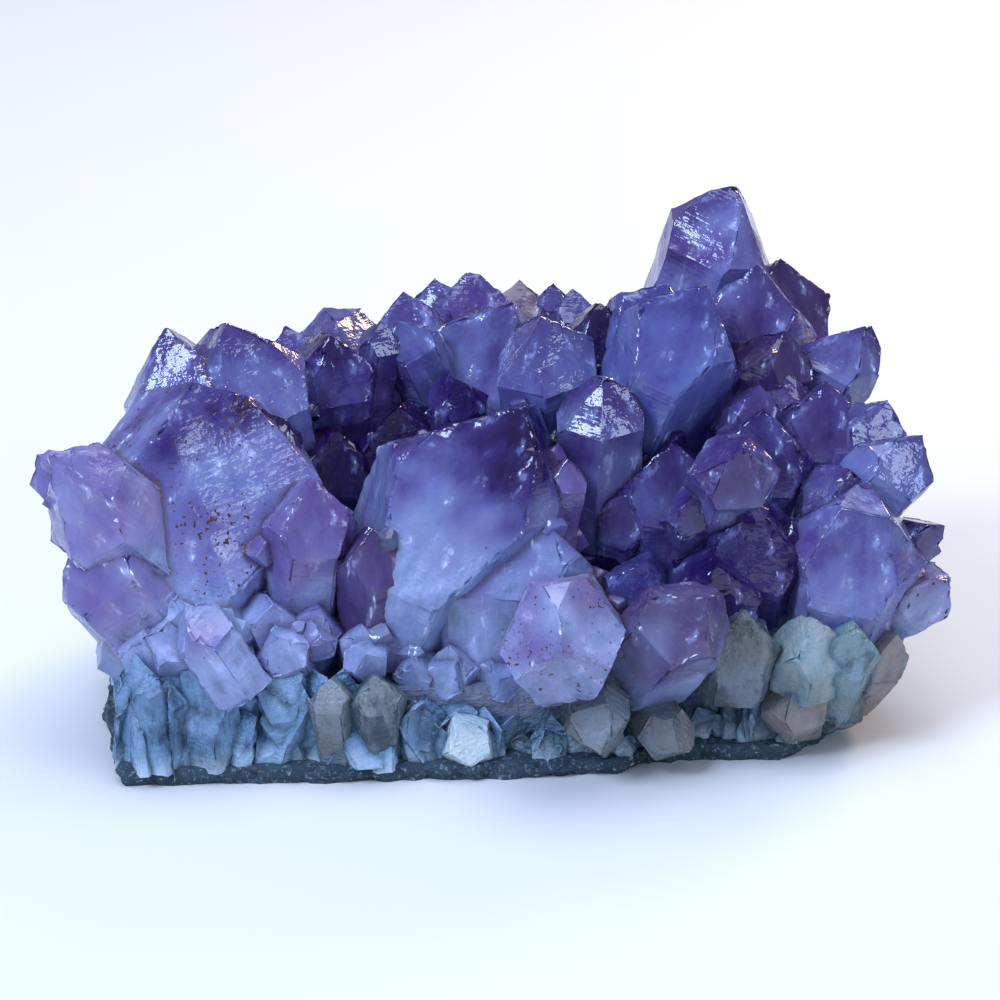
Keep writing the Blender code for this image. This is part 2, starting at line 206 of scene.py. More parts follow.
BLOCKS = (
    point("pale_drop", "smoky", (14.5, -36, 6.5), (112, -88), -95, 4.5, length=16),
    point("pale_twin", "smoky", (26, -33, 5.5), (95, -70), -80, 4, length=14),
    point("grey_block", "smoky", (35.5, -25, 24), (20, -80), -90, 6, length=14),
    point("clear_block", "clear", (46, -24, 22.5), (18, -70), -60, 5.5, length=12),
    point("milky_block", "smoky", (52, -17, 8), (64, -60), -60, 6, length=18),
    point("side_block", "clear", (57.5, -15, 16), (52, -30), -70, 5, length=18),
    point("smoky_block", "brownish", (-18, -31, 17), (16, -95), -80, 4, length=16),
    point("smoky_twin", "brownish", (-24.5, -30, 16), (10, -120), -100, 3.5, length=16),
    point("white_block", "white", (-6, -31, 9), (40, -110), -70, 4, length=14),
    point("right_front", "clear", (52, -23, 21.5), (24, -60), -85, 5, length=16),
    point("right_side", "smoky", (58.5, -17, 17), (38, -35), -50, 5, length=18),
    point("right_foot", "brownish", (44, -25.5, 13), (36, -80), -70, 4.5, length=14),
    point("right_stub", "smoky", (52, -22, 11), (48, -60), -60, 4.5, length=14),
)

# The outline of the whole piece where it stands, and how high the colourless band reaches there.
BASE = (
    (-55, -33.5, 20), (-30, -32.5, 19), (-12, -32, 14), (3, -31, 10), (17, -30, 9), (22, -26, 11), (28, -24.5, 13),
    (42, -25, 13), (49, -17, 15), (55, -4, 17), (57, 17, 18), (50, 37, 18), (22, 45, 19), (-20, 45, 20),
    (-46, 37, 19), (-60, 15, 19), (-60, -8, 21), (-57, -24, 21),
)
RIND_TOP = 2.7
GAP = 0.3
CRUST_INSET = 7
CRUST_TOP = 12
CORE_INSET = 17
CORE_BOTTOM = 9
CORE_TOP = 26
UNDER = 30

# Rows of colourless columns round the band, broken flush with its outline. For each row: spacing, share of the
# band's height, distance inside the outline, most tilt, least and most half width, and how they are tinted.
COLUMNS = (
    (5.0, .98, 5.0, 12, 3.0, 4.4, "quartz"),
    (4.6, .84, 3.2, 16, 2.4, 3.8, "quartz"),
    (4.0, .60, 2.2, 24, 1.8, 3.2, "quartz"),
)

# Milky lobes that flare out of the roots over the band, and behind them points that lean out over it. For each row:
# spacing, inside the outline, above the band, least and most tilt, least and most half width, the look, and how far
# back the row starts.
LOBES = (
    (6.4, 9.5, 5.0, 22, 40, 3.6, 5.0, "root", -99),
    (6.5, 6.0, 2.2, 42, 62, 2.8, 4.2, "root", -99),
    (7.5, 5.5, 13.0, 24, 46, 4.5, 6.5, "mist", 14),
    (6.5, 4.0, 6.5, 40, 62, 3.2, 4.8, "lilac", 8),
)

# The crystals behind, which the photograph hides, fill the spots of a grid that no listed crystal takes.
HIDDEN_STEP = 13.5
HIDDEN_REACH = (61, 40)
HIDDEN_CLEAR = 9.5
HIDDEN_HALF = 8.2


def unit(tilt, toward):
    """The direction that is tilt degrees from upright, leaning the way toward points in plan."""
    lean, plan = math.radians(tilt), math.radians(toward)
    return Vector((math.sin(lean) * math.cos(plan), math.sin(lean) * math.sin(plan), math.cos(lean)))


def stand(row):
    """The matrix that takes a crystal from its own axes, tip at the origin and first side along X, to its place."""
    up = unit(*row["lean"])
    look = unit(90, row["face"])
    across = (look - up * look.dot(up)).normalized()
    side = up.cross(across)
    turn = Matrix((across, side, up)).transposed().to_4x4()
    return Matrix.Translation(Vector(row["tip"])) @ turn


def shave(bm, at, normal):
    """Cuts away what lies beyond a plane and closes the cut with one face."""
    everything = bm.verts[:] + bm.edges[:] + bm.faces[:]
    cut = bmesh.ops.bisect_plane(bm, geom=everything, plane_co=at, plane_no=normal, clear_outer=True)
    rim = [e for e in cut["geom_cut"] if isinstance(e, bmesh.types.BMEdge)]
    if rim:
        bmesh.ops.contextual_create(bm, geom=rim)


def crystal(row):
    """One plain quartz crystal on its own axes, as a bmesh in millimetres."""
    half, length = row["half"], row["length"]
    draw = random.Random(f"{SEED} {row['name']}")
    ledges = row["ledges"] or [draw.uniform(.22, .4) if k % 2 else draw.uniform(0, .06) for k in range(SIDES)]
    girths = row["girths"] or [draw.uniform(.9, 1.1) for k in range(SIDES)]
    bm = bmesh.new()
    blank = 3 * half
    bmesh.ops.create_cone(
        bm, cap_ends=True, segments=4, radius1=blank, radius2=blank, depth=length + half,
        matrix=Matrix.Translation((0, 0, (half - length) / 2)))
    for k in range(SIDES):
        angle = math.radians(60 * k)
        out = Vector((math.cos(angle), math.sin(angle), 0))
        shave(bm, out * half * girths[k], out)
        slope = out * math.cos(FACE_SLOPE) + Vector((0, 0, math.sin(FACE_SLOPE)))
        if ledges[k] < ABSENT:
            shave(bm, slope * half * ledges[k], slope)
    back = stand(row).to_3x3().inverted()
    for look, rise, distance in row["cuts"]:
        normal = back @ unit(90 - rise, look)
        shave(bm, normal * -distance, normal)
    return bm


def soften(bm, width):
    """Rounds the edges of a plain crystal."""
    bmesh.ops.bevel(
        bm, geom=bm.edges[:], offset=width, offset_type="OFFSET", segments=2, profile=.5, affect="EDGES",
        clamp_overlap=True, material=-1)


def net(bm, step):
    """Cuts the faces of a crystal into a net of lines level with its base and lines that run to its tip."""
    low = min(v.co.z for v in bm.verts)
    for i in range(1, int(-low / step)):
        everything = bm.verts[:] + bm.edges[:] + bm.faces[:]
        bmesh.ops.bisect_plane(bm, geom=everything, plane_co=(0, 0, -i * step), plane_no=(0, 0, 1))
    bm.normal_update()
    for k in range(SIDES):
        angle = math.radians(60 * k)
        out = Vector((math.cos(angle), math.sin(angle), 0))
        along = Vector((-out.y, out.x, 0))
        part = set()
        for face in bm.faces:
            flat = Vector((face.normal.x, face.normal.y, 0))
            if face.normal.z > -.9 and flat.length > .1 and flat.normalized().dot(out) > .866:
                part.update([face], face.edges, face.verts)
        spots = [along.dot(v.co) for v in part if isinstance(v, bmesh.types.BMVert)]
        if not spots:
            continue
        part = list(part)
        for i in range(math.ceil(min(spots) / step), math.floor(max(spots) / step) + 1):
            cut = bmesh.ops.bisect_plane(bm, geom=part, plane_co=along * i * step, plane_no=along)
            part = cut["geom"]


def weather(bm, sizes, seed, broken):
    """Gives the faces of a crystal their growth relief and nibbles its edges, the more the more it is broken.

    Each face is broken into low facets a few millimetres wide that tilt by a few degrees, as on real crystals, and
    the prism faces carry lines across the long axis.
    """
    bm.normal_update()
    shift = Vector((seed * 7.3, seed * 3.1, seed * 5.7))
    moves = []
    for vert in bm.verts:
        place = vert.co + shift
        prism = abs(vert.normal.z) < .3
        squat = Vector((place.x, place.y, place.z * (1.6 if prism else 1))) / sizes.facet * MM * broken
        middle = noise.voronoi(squat)[1][0]
        tilt = noise.cell_vector(middle * 5.3) - Vector((.5, .5, .5))
        facet = (squat - middle).dot(tilt) + .35 * noise.cell(middle * 3.1)
        line = noise.noise(Vector((place.x * .15, place.y * .15, place.z * 1.1))) if prism else noise.noise(place * .5)
        depth = sizes.relief / MM * broken * (.8 + 2.4 * facet + .8 * noise.noise(place * .15) + .5 * line)
        spread = min((face.normal.dot(vert.normal) for face in vert.link_faces), default=1)
        if spread < .985:
            depth += sizes.chips / MM * max(0, noise.noise(place * .8) + .1)
        moves.append(vert.normal * -max(0, depth))
    for vert, move in zip(bm.verts, moves):
        vert.co += move


def walk(step):
    """Points a step apart along the base outline: x, y, height of the band and the way the outline faces."""
    spots = []
    left = step / 2
    for i, (x0, y0, band0) in enumerate(BASE):
        x1, y1, band1 = BASE[(i + 1) % len(BASE)]
        span = math.hypot(x1 - x0, y1 - y0)
        outward = math.degrees(math.atan2(x0 - x1, y1 - y0))
        while left < span:
            t = left / span
            spots.append((x0 + (x1 - x0) * t, y0 + (y1 - y0) * t, band0 + (band1 - band0) * t, outward))
            left += step
        left -= span
    return spots


def columns():
    """The colourless columns that stand side by side round the band, as one list for each of its rows."""
    draw = random.Random(SEED)
    batches = []
    for ring, (step, share, inside, tilt, least, most, look) in enumerate(COLUMNS):
        rows = []
        batches.append(rows)
        for i, (x, y, band, outward) in enumerate(walk(step)):
            half = draw.uniform(least, most)
            turn = math.radians(outward)
            back = inside + draw.uniform(-.9, .9)
            height = RIND_TOP + (band - RIND_TOP) * share * draw.uniform(.78, 1.08)
            tip = (x - back * math.cos(turn), y - back * math.sin(turn), height)
            lean = (draw.uniform(0, tilt), outward + draw.uniform(-80, 80))
            face = outward + draw.uniform(-30, 30)
            broken = (outward + draw.uniform(-40, 40), draw.uniform(-12, 30), half * draw.uniform(.1, .75))
            rows.append(point(
                f"column_{ring}_{i}", look, tip, lean, face, half, None, None, (broken,), length=height + half))
            rows[-1]["floor"] = draw.uniform(.7, RIND_TOP)
    return batches


def lobes():
    """The rows of the milky lobes round the roots of the violet crystals."""
    draw = random.Random(SEED + 6)
    rows = []
    for ring, (step, inside, above, least, most, thin, thick, look, start) in enumerate(LOBES):
        for i, (x, y, band, outward) in enumerate(walk(step)):
            if y < start:
                continue
            turn = math.radians(outward)
            back = inside + draw.uniform(-1.5, 1.5)
            tip = (x - back * math.cos(turn), y - back * math.sin(turn), band + above + draw.uniform(-1.5, 1.5))
            lean = (draw.uniform(least, most), outward + draw.uniform(-30, 30))
            face = outward + draw.uniform(-30, 30)
            half = draw.uniform(thin, thick)
            rows.append(point(f"lobe_{ring}_{i}", look, tip, lean, face, half, length=12 + half))
    return rows


def hidden_points():
    """The rows of the crystals behind and at the ends, on a jittered grid under a low dome."""
    draw = random.Random(SEED + 1)
    wide, deep = HIDDEN_REACH
    rows = []
    for j in range(-4, 5):
        for i in range(-6, 7):
            x = (i + (j % 2) / 2) * HIDDEN_STEP + draw.uniform(-2, 2)
            y = j * HIDDEN_STEP * .87 + draw.uniform(-2, 2) + 2
            out = math.hypot(x / wide, y / deep)
            near = min(math.hypot(x - row["tip"][0], y - row["tip"][1]) for row in POINTS)
            size = HIDDEN_HALF * draw.uniform(.7, 1.15)
            height = 45 - 19 * out ** 3 + draw.uniform(-3, 3)
            aim = math.degrees(math.atan2(y / deep, x / wide))
            lean = (8 + 42 * out ** 2 + draw.uniform(-6, 6), aim + draw.uniform(-15, 15))
            if out < 1 and y > 4 and near > HIDDEN_CLEAR:
                face = draw.uniform(-180, 180)
                rows.append(point(f"hidden_{j}_{i}", "lavender", (x, y, height), lean, face, size))
    return rows


def inset(outline, distance):
    """An outline moved inwards by a distance."""
    moved = []
    for i, (x, y) in enumerate(outline):
        before, after = outline[i - 1], outline[(i + 1) % len(outline)]
        into = (Vector((x, y)) - Vector(before)).normalized()
        away = (Vector(after) - Vector((x, y))).normalized()
        inward = Vector((-into.y - away.y, into.x + away.x)).normalized()
        moved.append(Vector((x, y)) + inward * distance / max(.5, inward.dot(Vector((-into.y, into.x)))))
    return [tuple(p) for p in moved]


def slab(distance, bottom, top):
    """A flat block inside the base outline, as a bmesh whose faces have the number 0."""
    bm = bmesh.new()
    ring = inset([(x, y) for x, y, band in BASE], distance)
    base = bm.faces.new([bm.verts.new((x, y, bottom)) for x, y in ring])
    grown = bmesh.ops.extrude_face_region(bm, geom=[base])
    lifted = [v for v in grown["geom"] if isinstance(v, bmesh.types.BMVert)]
    bmesh.ops.translate(bm, verts=lifted, vec=(0, 0, top - bottom))
    bm.normal_update()
    if bm.calc_volume(signed=True) < 0:
        bmesh.ops.reverse_faces(bm, faces=bm.faces[:])
    bm.faces.layers.int.new("crystal")
    return bm


def grow(row, number, sizes, step, floor):
    """One weathered crystal in its place, as a bmesh in millimetres whose faces carry its number.

    step is the spacing of the net on its faces, and nothing of it is left below the floor.
    """
    bm = crystal(row)
    soften(bm, min(sizes.edge / MM, row["half"] * .06))
    if step:
        net(bm, step)
        weather(bm, sizes, number, BROKEN.get(row["look"], 1))
    bm.transform(stand(row))
    if min(v.co.z for v in bm.verts) < floor:
        shave(bm, (0, 0, floor), (0, 0, -1))
    mark = bm.faces.layers.int.new("crystal")
    for face in bm.faces:
        face[mark] = number
    bmesh.ops.triangulate(bm, faces=[f for f in bm.faces if len(f.verts) > 4])
    return bm


def keep(bm, name, collection):
    """Turns a bmesh in millimetres into an object in metres."""
    bm.transform(Matrix.Scale(MM, 4))
    mesh = bpy.data.meshes.new(name)
    bm.to_mesh(mesh)
    bm.free()
    obj = bpy.data.objects.new(name, mesh)
    collection.objects.link(obj)
    return obj


def merge(obj, solids):
    """Joins a collection of solids to an object, applies the result and removes them."""
    step = obj.modifiers.new("merge", "BOOLEAN")
    step.operation = "UNION"
    step.operand_type = "COLLECTION"
    step.collection = solids
    step.solver = "MANIFOLD"
    graph = bpy.context.evaluated_depsgraph_get()
    mesh = bpy.data.meshes.new_from_object(obj.evaluated_get(graph))
    obj.modifiers.clear()
    spent = [obj.data]
    obj.data = mesh
    for solid in list(solids.objects):
        spent.append(solid.data)
        bpy.data.objects.remove(solid)
    bpy.data.collections.remove(solids)
    for old in spent:
        bpy.data.meshes.remove(old)


def crowd(obj, rows, first, sizes, step, floor):
    """Grows the rows, numbered from first, down to the floor and joins them to an object."""
    solids = bpy.data.collections.new("solids")
    bpy.context.scene.collection.children.link(solids)
    for number, row in enumerate(rows, first):
        keep(grow(row, number, sizes, step(row), row.get("floor", floor)), row["name"], solids)
    merge(obj, solids)


def clefts(obj, rows, first, count, low, high, apart, big):
    """The rows of small crystals that fill the clefts between the grown ones, numbered from first."""
    draw = random.Random(SEED + 5)
    bm = bmesh.new()
    bm.from_mesh(obj.data)
    bm.normal_update()
    mark = bm.faces.layers.int["crystal"]
    seams = []
    for edge in bm.edges:
        if len(edge.link_faces) != 2 or edge.calc_face_angle_signed() > -.4:
            continue
        one, other = edge.link_faces
        middle = (edge.verts[0].co + edge.verts[1].co) / 2 / MM
        if one[mark] != other[mark] and low < middle.z < high:
            seams.append((middle, (one.normal + other.normal).normalized(), one[mark]))
    bm.free()
    draw.shuffle(seams)
    taken = []
    made = []
    for middle, out, number in seams:
        if len(made) == count:
            break
        if any((middle - spot).length < apart for spot in taken) or out.z < -.2:
            continue
        taken.append(middle)
        aim = (out + Vector([draw.uniform(-.35, .35) for axis in range(3)])).normalized()
        half = big * draw.uniform(.35, 1) ** 1.5
        tilt = math.degrees(math.acos(aim.z))
        toward = math.degrees(math.atan2(aim.y, aim.x))
        # Small crystals on the core take the same dark look of painted shade
        parent = rows[number - 1]["look"] if number else "shade"
        look = "clear" if middle.z < 20 and parent not in ("smoky", "brownish") else parent
        made.append(point(
            f"cleft_{first + len(made)}", look, tuple(middle + aim * half * draw.uniform(.9, 1.8)), (tilt, toward),
            draw.uniform(-180, 180), half, length=5 + 2 * half))
    return made


def describe(obj, rows):
    """Writes on every corner of a grown piece what its material reads.

    grown is the place on the crystal's own axes in millimetres from its tip. violet holds the violet of its tip
    and body and its milky height. tone holds rose, blue and brown. skin holds frost, dust and the distance from
    the nearest cleft. chance is a number of its own for each crystal.
    """
    mesh = obj.data
    sides = np.empty(len(mesh.polygons), np.int32)
    mesh.attributes["crystal"].data.foreach_get("value", sides)
    totals = np.empty(len(mesh.polygons), np.int32)
    mesh.polygons.foreach_get("loop_total", totals)
    owner = np.repeat(sides, totals)
    corner = np.empty(len(mesh.loops), np.int32)
    mesh.loops.foreach_get("vertex_index", corner)
    border = np.empty(len(mesh.loops), np.int32)
    mesh.loops.foreach_get("edge_index", border)
    spots = np.empty(len(mesh.vertices) * 3, np.float32)
    mesh.vertices.foreach_get("co", spots)
    spots = spots.reshape(-1, 3) / MM

    # An edge is a seam where the crystals on its two sides aren't the same.
    least = np.full(len(mesh.edges), 1 << 30)
    most = np.full(len(mesh.edges), -1)
    np.minimum.at(least, border, owner)
    np.maximum.at(most, border, owner)
    ends = np.empty(len(mesh.edges) * 2, np.int32)
    mesh.edges.foreach_get("vertices", ends)
    on_seam = np.unique(ends.reshape(-1, 2)[least != most])
    tree = KDTree(len(on_seam))
    for i in on_seam:
        tree.insert(spots[i], int(i))
    tree.balance()
    away = np.array([min(9, tree.find(spot)[2]) for spot in spots], np.float32)

    draw = random.Random(SEED + 3)
    turns = [Matrix.Identity(4)] + [stand(row).inverted() for row in rows]
    # The core, number 0, takes the dark look that paints shade in the pits
    looks = [LOOKS["shade"]] + [LOOKS[row["look"]] for row in rows]
    turn = np.array([[list(line)[:3] for line in m.to_3x3()] for m in turns], np.float32)
    move = np.array([list(m.to_translation()) for m in turns], np.float32)
    looks = np.array(looks, np.float32)[owner]
    chance = np.array([draw.random() for row in turns], np.float32)[owner]
    grown = np.einsum("nij,nj->ni", turn[owner], spots[corner]) + move[owner]
    layers = {
        "grown": grown,
        "violet": looks[:, :3],
        "tone": looks[:, 4:7],
        "skin": np.stack([looks[:, 3], looks[:, 7], away[corner]], axis=1),
        "chance": np.stack([chance] * 3, axis=1),
    }
    for name, values in layers.items():
        layer = mesh.attributes.new(name, "FLOAT_VECTOR", "CORNER")
        layer.data.foreach_set("vector", np.ascontiguousarray(values, np.float32).ravel())


def finish(obj, material, node_name):
    """Shades a piece, gives it its material and sets it in place of its CAD node."""
    mesh = obj.data
    mesh.shade_smooth()
    mesh.set_sharp_from_angle(angle=math.radians(28))
    mesh.materials.clear()
    mesh.materials.append(material)
    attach(obj, "root")
    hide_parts(node_name)


def linear(code):
    """An sRGB hex colour as linear red, green and blue."""
    parts = [int(code[i:i + 2], 16) / 255 for i in (1, 3, 5)]
    return tuple(c / 12.92 if c <= .04045 else ((c + .055) / 1.055) ** 2.4 for c in parts)


def add(tree, kind, feeds=None, **settings):
    """Adds a node with its settings. feeds gives its inputs a value or another node's output."""
    made = tree.nodes.new(kind)
    for name, value in settings.items():
        setattr(made, name, value)
    for name, value in (feeds or {}).items():
        if isinstance(value, bpy.types.NodeSocket):
            tree.links.new(value, made.inputs[name])
        elif isinstance(value, (tuple, list)) and len(value) == 3 and made.inputs[name].type == "RGBA":
            made.inputs[name].default_value = (*value, 1)
        else:
            made.inputs[name].default_value = value
    return made


def blank(name):
    """A material with only its output node."""
    material = bpy.data.materials.new(name)
    material.use_nodes = True
    tree = material.node_tree
    tree.nodes.clear()
    return material, tree, add(tree, "ShaderNodeOutputMaterial")


def amethyst(colours):
    """Amethyst as it grew, never cut or polished.

    Glassy violet quartz, deepest at the tips, in clouds and veils, and milky at the root. The prism faces carry
    fine lines across the long axis and the end faces low hillocks, and dust and rust sit on them. Along the clefts
    stains mix with painted shade, and cracks close to the face show as painted glints.
    """
    material, tree, output = blank("amethyst, natural growth faces")
    place = add(tree, "ShaderNodeVectorMath", {
        0: add(tree, "ShaderNodeTexCoord").outputs["Object"], 1: (1000, 1000, 1000)}, operation="MULTIPLY").outputs[0]
    grown = add(tree, "ShaderNodeAttribute", attribute_name="grown").outputs["Vector"]
    violet = add(tree, "ShaderNodeAttribute", attribute_name="violet").outputs["Vector"]
    tone = add(tree, "ShaderNodeAttribute", attribute_name="tone").outputs["Vector"]
    skin = add(tree, "ShaderNodeAttribute", attribute_name="skin").outputs["Vector"]
    chance = add(tree, "ShaderNodeAttribute", attribute_name="chance").outputs["Vector"]
    height = add(tree, "ShaderNodeSeparateXYZ", {0: place}).outputs[2]
    rise = add(tree, "ShaderNodeSeparateXYZ", {0: grown}).outputs[2]
    violet = add(tree, "ShaderNodeSeparateXYZ", {0: violet})
    tone = add(tree, "ShaderNodeSeparateXYZ", {0: tone})
    skin = add(tree, "ShaderNodeSeparateXYZ", {0: skin})
    frost, dust, seam = skin.outputs

    # Clouds of colour about 10 mm across run through the whole cluster
    own = add(tree, "ShaderNodeVectorMath", {0: chance, 1: (60, 60, 60), 2: place}, operation="MULTIPLY_ADD").outputs[0]
    cloud = add(tree, "ShaderNodeTexNoise", {"Vector": own, "Scale": .11, "Detail": 1, "Roughness": .5}).outputs[0]
    # Veils 2 to 3 mm wide run up each crystal
    long = add(tree, "ShaderNodeVectorMath", {0: grown, 1: (1, 1, .35)}, operation="MULTIPLY").outputs[0]
    veil = add(tree, "ShaderNodeTexNoise", {
        "Vector": long, "Scale": .34, "Detail": 3, "Roughness": .62}).outputs[0]

    # The violet falls off over the first 16 mm below the tip
    wander = add(tree, "ShaderNodeMath", {0: cloud, 1: 26, 2: rise}, operation="MULTIPLY_ADD").outputs[0]
    capped = add(tree, "ShaderNodeMapRange", {
        "Value": wander, "From Min": -3, "From Max": 13, "To Min": 0, "To Max": 1},
        interpolation_type="SMOOTHSTEP").outputs[0]
    depth = add(tree, "ShaderNodeMix", {0: capped, 2: violet.outputs[1], 3: violet.outputs[0]}).outputs[0]
    veiled = add(tree, "ShaderNodeMath", {0: veil, 1: .5}, operation="SUBTRACT").outputs[0]
    depth = add(tree, "ShaderNodeMath", {0: veiled, 1: .9, 2: depth}, operation="MULTIPLY_ADD").outputs[0]

    # The milky root reaches up unevenly
    ragged = add(tree, "ShaderNodeMath", {0: cloud, 1: -22, 2: violet.outputs[2]}, operation="MULTIPLY_ADD").outputs[0]
    ragged = add(tree, "ShaderNodeMath", {0: veiled, 1: 10, 2: ragged}, operation="MULTIPLY_ADD").outputs[0]
    above = add(tree, "ShaderNodeMath", {0: height, 1: ragged}, operation="SUBTRACT").outputs[0]
    milk = add(tree, "ShaderNodeMapRange", {
        "Value": above, "From Min": 4, "From Max": 17, "To Min": 1, "To Max": 0},
        interpolation_type="SMOOTHSTEP").outputs[0]

    # Where a veil is densest it shows as a soft bright wisp
    crack = add(tree, "ShaderNodeMapRange", {
        "Value": veil, "From Min": .41, "From Max": .27, "To Min": 0, "To Max": 1},
        interpolation_type="SMOOTHSTEP").outputs[0]
    # and where a crack comes close to the face its silvery flash is painted in as a painted glint of pale cyan-white
    # colour
    painted_glint = add(tree, "ShaderNodeMapRange", {
        "Value": veil, "From Min": .36, "From Max": .31, "To Min": 0, "To Max": .65}).outputs[0]
    thin = add(tree, "ShaderNodeVectorMath", {0: grown, 1: (1.2, 1.2, .22)}, operation="MULTIPLY").outputs[0]
    glint_streak = add(tree, "ShaderNodeTexNoise", {"Vector": thin, "Scale": 1.1, "Detail": 1, "Roughness": .5}).outputs[0]
    glint_streak = add(tree, "ShaderNodeMapRange", {
        "Value": glint_streak, "From Min": .58, "From Max": .66, "To Min": 0, "To Max": 1}).outputs[0]
    painted_glint = add(tree, "ShaderNodeMath", {0: painted_glint, 1: glint_streak}, operation="MULTIPLY").outputs[0]

    ramp = add(tree, "ShaderNodeValToRGB", {0: depth})
    shades = (colours.pale, colours.lavender, colours.violet, colours.deep, colours.ink)
    stops = (0, .3, .58, .82, 1)
    while len(ramp.color_ramp.elements) < len(stops):
        ramp.color_ramp.elements.new(.5)
    for element, stop, shade in zip(ramp.color_ramp.elements, stops, shades):
        element.position = stop
        element.color = (*shade, 1)
    colour = ramp.outputs[0]
    drift = add(tree, "ShaderNodeMath", {0: cloud, 1: .4}, operation="SUBTRACT").outputs[0]
    drift = add(tree, "ShaderNodeMath", {0: drift, 1: 1.1, 2: tone.outputs[0]}, operation="MULTIPLY_ADD").outputs[0]
    for share, tint in zip((drift, *tone.outputs[1:]), (colours.rose, colours.blue, colours.brown)):
        colour = add(tree, "ShaderNodeMix", {0: share, 6: colour, 7: (*tint, 1)},
                     data_type="RGBA", blend_type="MULTIPLY").outputs[2]
    whitened = add(tree, "ShaderNodeMath", {0: veil, 1: 1.5}, operation="MULTIPLY", use_clamp=True).outputs[0]
    whitened = add(tree, "ShaderNodeMath", {0: whitened, 1: milk}, operation="MULTIPLY").outputs[0]
    curd = add(tree, "ShaderNodeMapRange", {
        "Value": veil, "From Min": .3, "From Max": .7, "To Min": 0, "To Max": 1}).outputs[0]
    curd = add(tree, "ShaderNodeMix", {
        0: curd, 6: (*colours.milk, 1), 7: (*colours.murk, 1)}, data_type="RGBA").outputs[2]
    colour = add(tree, "ShaderNodeMix", {0: whitened, 6: colour, 7: curd}, data_type="RGBA").outputs[2]

    lit = add(tree, "ShaderNodeMath", {0: crack, 1: .3}, operation="MULTIPLY").outputs[0]
    colour = add(tree, "ShaderNodeMix", {0: lit, 6: colour, 7: (*colours.pale, 1)}, data_type="RGBA").outputs[2]
    # Painted glint: pale cyan-white colour where a crack comes close to the face
    colour = add(tree, "ShaderNodeMix", {0: painted_glint, 6: colour, 7: (*colours.painted_glint, 1)}, data_type="RGBA").outputs[2]

    # Rust and dust: specks about 0.5 mm across; along the clefts, stains mixed with painted shade
    grit = add(tree, "ShaderNodeTexNoise", {"Vector": place, "Scale": 1.3, "Detail": 1, "Roughness": .6}).outputs[0]
    wanted = add(tree, "ShaderNodeMath", {0: dust, 1: cloud}, operation="MULTIPLY").outputs[0]
    limit = add(tree, "ShaderNodeMath", {0: wanted, 1: -.41, 2: .85}, operation="MULTIPLY_ADD").outputs[0]
    beyond = add(tree, "ShaderNodeMath", {0: grit, 1: limit}, operation="SUBTRACT").outputs[0]
    speck = add(tree, "ShaderNodeMapRange", {"Value": beyond, "From Min": 0, "From Max": .04}).outputs[0]
    colour = add(tree, "ShaderNodeMix", {0: speck, 6: colour, 7: (*colours.rust, 1)}, data_type="RGBA").outputs[2]

    # Painted shade mixed with stain: darker close to the clefts, the more so where there is dust
    near = add(tree, "ShaderNodeMapRange", {
        "Value": seam, "From Min": 1.1, "From Max": .1, "To Min": 0, "To Max": 1}).outputs[0]
    near = add(tree, "ShaderNodeMath", {0: near, 1: wanted}, operation="MULTIPLY").outputs[0]
    near = add(tree, "ShaderNodeMath", {0: near, 1: 1.6}, operation="MULTIPLY", use_clamp=True).outputs[0]
    colour = add(tree, "ShaderNodeMix", {0: near, 6: colour, 7: (*colours.cleft_stain_and_shade, 1)}, data_type="RGBA").outputs[2]

    # Lines across the long axis every 0.4 mm or so, and hillocks 1 to 2 mm wide
    lines = add(tree, "ShaderNodeVectorMath", {0: grown, 1: (.1, .1, 2.4)}, operation="MULTIPLY").outputs[0]
    lines = add(tree, "ShaderNodeTexNoise", {"Vector": lines, "Scale": 1, "Detail": 1, "Roughness": .6}).outputs[0]
    hillocks = add(tree, "ShaderNodeTexNoise", {
        "Vector": grown, "Scale": .7, "Detail": 2, "Roughness": .55}).outputs[0]
    relief = add(tree, "ShaderNodeMath", {0: lines, 1: .35, 2: hillocks}, operation="MULTIPLY_ADD").outputs[0]
    bump = add(tree, "ShaderNodeBump", {"Height": relief, "Strength": .6, "Distance": .00025}).outputs[0]

    rough = add(tree, "ShaderNodeMath", {0: frost, 1: hillocks}, operation="MULTIPLY").outputs[0]
    rough = add(tree, "ShaderNodeMath", {0: rough, 1: .6, 2: .04}, operation="MULTIPLY_ADD").outputs[0]
    rough = add(tree, "ShaderNodeMath", {0: milk, 1: .2, 2: rough}, operation="MULTIPLY_ADD").outputs[0]
    rough = add(tree, "ShaderNodeMath", {0: speck, 1: .5, 2: rough}, operation="MULTIPLY_ADD").outputs[0]

    clear = add(tree, "ShaderNodeMath", {0: milk, 1: -.32, 2: .47}, operation="MULTIPLY_ADD").outputs[0]
    clear = add(tree, "ShaderNodeMath", {0: frost, 1: -.3, 2: clear}, operation="MULTIPLY_ADD").outputs[0]
    clear = add(tree, "ShaderNodeMath", {0: veiled, 1: -.7, 2: clear}, operation="MULTIPLY_ADD").outputs[0]
    clear = add(tree, "ShaderNodeMath", {0: crack, 1: -.35, 2: clear}, operation="MULTIPLY_ADD").outputs[0]
    # The painted glints let through less light
    clear = add(tree, "ShaderNodeMath", {0: painted_glint, 1: -.8, 2: clear}, operation="MULTIPLY_ADD").outputs[0]
    clear = add(tree, "ShaderNodeMath", {0: clear, 1: speck}, operation="SUBTRACT", use_clamp=True).outputs[0]

    shader = add(tree, "ShaderNodeBsdfPrincipled", {
        "Base Color": colour, "Roughness": rough, "Normal": bump, "Transmission Weight": clear, "IOR": 1.544})
    tree.links.new(shader.outputs[0], output.inputs["Surface"])
    murk = add(tree, "ShaderNodeVolumeAbsorption", {"Color": tuple(colours.depth), "Density": 32})
    tree.links.new(murk.outputs[0], output.inputs["Volume"])
    return material


